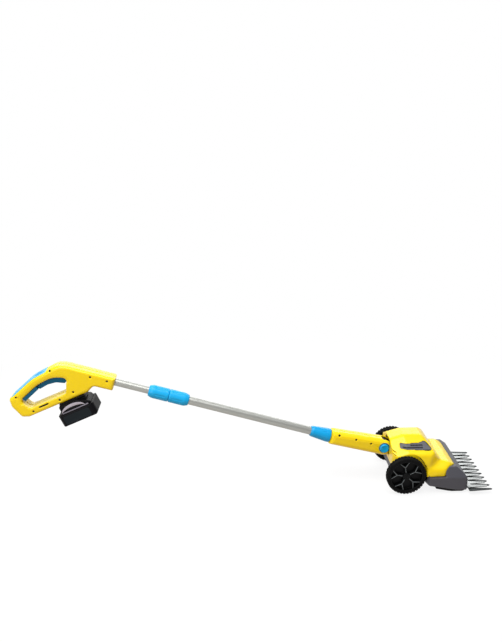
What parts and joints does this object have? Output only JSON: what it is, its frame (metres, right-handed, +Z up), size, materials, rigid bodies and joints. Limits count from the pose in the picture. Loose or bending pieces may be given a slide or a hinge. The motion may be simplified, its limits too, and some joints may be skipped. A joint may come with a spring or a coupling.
{
  "type": "cordless grass shears",
  "caption": "Cordless grass shears on two wheels: a yellow motor head with a reciprocating comb blade, a tilting telescopic pole and a loop handle with a slide-on battery.",
  "frame": {"origin": "middle of the flat of the sole, on the ground", "axes": "+X forward to the blades, +Z up, Y across"},
  "size_m": [1.3218, 0.2196, 0.369],
  "materials": {
    "yellow_plastic": "moulded ABS, satin gloss",
    "grey_plastic": "fine texture",
    "black_plastic": "fine texture",
    "tyre_rubber": "smooth tread plastic",
    "blue_plastic": "moulded, satin gloss",
    "blue_grip": "soft touch",
    "teal_plastic": "satin",
    "blade_steel": "ground",
    "plain_steel": "plain",
    "gear_brass": "sintered",
    "tube_aluminium": "drawn, satin",
    "cell_wrap": "shrink wrap"
  },
  "bodies": {
    "head": {"head_shell": "yellow_plastic", "base_housing": "grey_plastic", "base_cover": "black_plastic", "vent_near": "grey_plastic", "vent_far": "grey_plastic", "fixed_blade": "blade_steel", "blade_screws": "plain_steel", "gear_stud": "plain_steel", "motor_mount": "plain_steel", "motor_can": "plain_steel", "hinge_yoke": "black_plastic", "pivot_pin": "plain_steel", "detent_plate": "plain_steel", "wheel_axle": "plain_steel", "axle_clips": "plain_steel"},
    "near_wheel": {"near_rim": "black_plastic", "near_tyre": "tyre_rubber", "near_hub_cap": "black_plastic"},
    "far_wheel": {"far_rim": "black_plastic", "far_tyre": "tyre_rubber", "far_hub_cap": "black_plastic"},
    "cutter": {"moving_blade": "blade_steel"},
    "crank": {"crank_gear": "gear_brass"},
    "rotor": {"motor_shaft": "plain_steel"},
    "arm": {"arm_near": "yellow_plastic", "arm_far": "yellow_plastic", "arm_screws": "plain_steel", "lower_tube": "tube_aluminium", "sleeve_body": "blue_plastic", "pole_collet": "black_plastic"},
    "lock_button": {"pivot_button": "blue_plastic"},
    "collar": {"lower_collar": "blue_plastic"},
    "sleeve": {"sleeve_nut": "blue_plastic"},
    "handle": {"upper_tube": "tube_aluminium", "handle_near": "yellow_plastic", "handle_far": "yellow_plastic", "handle_screws": "plain_steel", "top_grip": "blue_grip", "grip_liner": "teal_plastic", "trigger_pin": "plain_steel", "trigger_switch": "black_plastic", "battery_shoe": "black_plastic"},
    "trigger": {"trigger": "teal_plastic"},
    "safety": {"safety_button": "teal_plastic"},
    "battery": {"battery_lid": "black_plastic", "battery_tub": "black_plastic", "battery_cells": "cell_wrap"},
    "release": {"battery_release": "black_plastic"}
  },
  "joints": [
    {"name": "near_wheel_spin", "type": "hinge", "parent": "head", "child": "near_wheel", "pos_m": [-0.15, -0.091, 0.055], "axis": [0, 1, 0], "continuous": true},
    {"name": "far_wheel_spin", "type": "hinge", "parent": "head", "child": "far_wheel", "pos_m": [-0.15, 0.091, 0.055], "axis": [0, 1, 0], "continuous": true},
    {"name": "blade_stroke", "type": "slide", "parent": "head", "child": "cutter", "axis": [0, 1, 0], "range_m": [-0.005, 0.005]},
    {"name": "crank_turn", "type": "hinge", "parent": "head", "child": "crank", "pos_m": [-0.032, 0, 0.022], "axis": [0, 0, 1], "continuous": true},
    {"name": "rotor_turn", "type": "hinge", "parent": "head", "child": "rotor", "pos_m": [-0.067, 0, 0.022], "axis": [0, 0, 1], "continuous": true},
    {"name": "handle_pitch", "type": "hinge", "parent": "head", "child": "arm", "pos_m": [-0.1975, 0, 0.102], "axis": [0, 1, 0], "range_deg": [0, 46]},
    {"name": "lock_press", "type": "slide", "parent": "arm", "child": "lock_button", "axis": [0, 1, 0], "range_m": [0, 0.004], "stiffness_N_per_m": 1000},
    {"name": "collar_twist", "type": "hinge", "parent": "arm", "child": "collar", "pos_m": [-0.37857, 0, 0.14208], "axis": [-0.9588, 0, 0.284], "range_deg": [0, 60]},
    {"name": "sleeve_twist", "type": "hinge", "parent": "arm", "child": "sleeve", "pos_m": [-0.82442, 0, 0.27415], "axis": [-0.9588, 0, 0.284], "range_deg": [0, 90]},
    {"name": "pole_slide", "type": "slide", "parent": "arm", "child": "handle", "axis": [-0.9588, 0, 0.284], "range_m": [-0.08, 0.15]},
    {"name": "trigger_pull", "type": "hinge", "parent": "handle", "child": "trigger", "pos_m": [-1.06681, 0, 0.3376], "axis": [0, 1, 0], "range_deg": [0, 5], "stiffness_Nm_per_rad": 8},
    {"name": "safety_press", "type": "slide", "parent": "handle", "child": "safety", "axis": [0.4723, 0, -0.8815], "range_m": [0, 0.0025], "stiffness_N_per_m": 800},
    {"name": "battery_slide", "type": "slide", "parent": "handle", "child": "battery", "axis": [-0.9172, 0, -0.3984], "range_m": [0, 0.08]},
    {"name": "release_press", "type": "slide", "parent": "battery", "child": "release", "axis": [0.9172, 0, 0.3984], "range_m": [0, 0.003], "stiffness_N_per_m": 700}
  ],
  "couplings": [
    {"joint": "rotor_turn", "follows": "crank_turn", "ratio": -2.5}
  ]
}
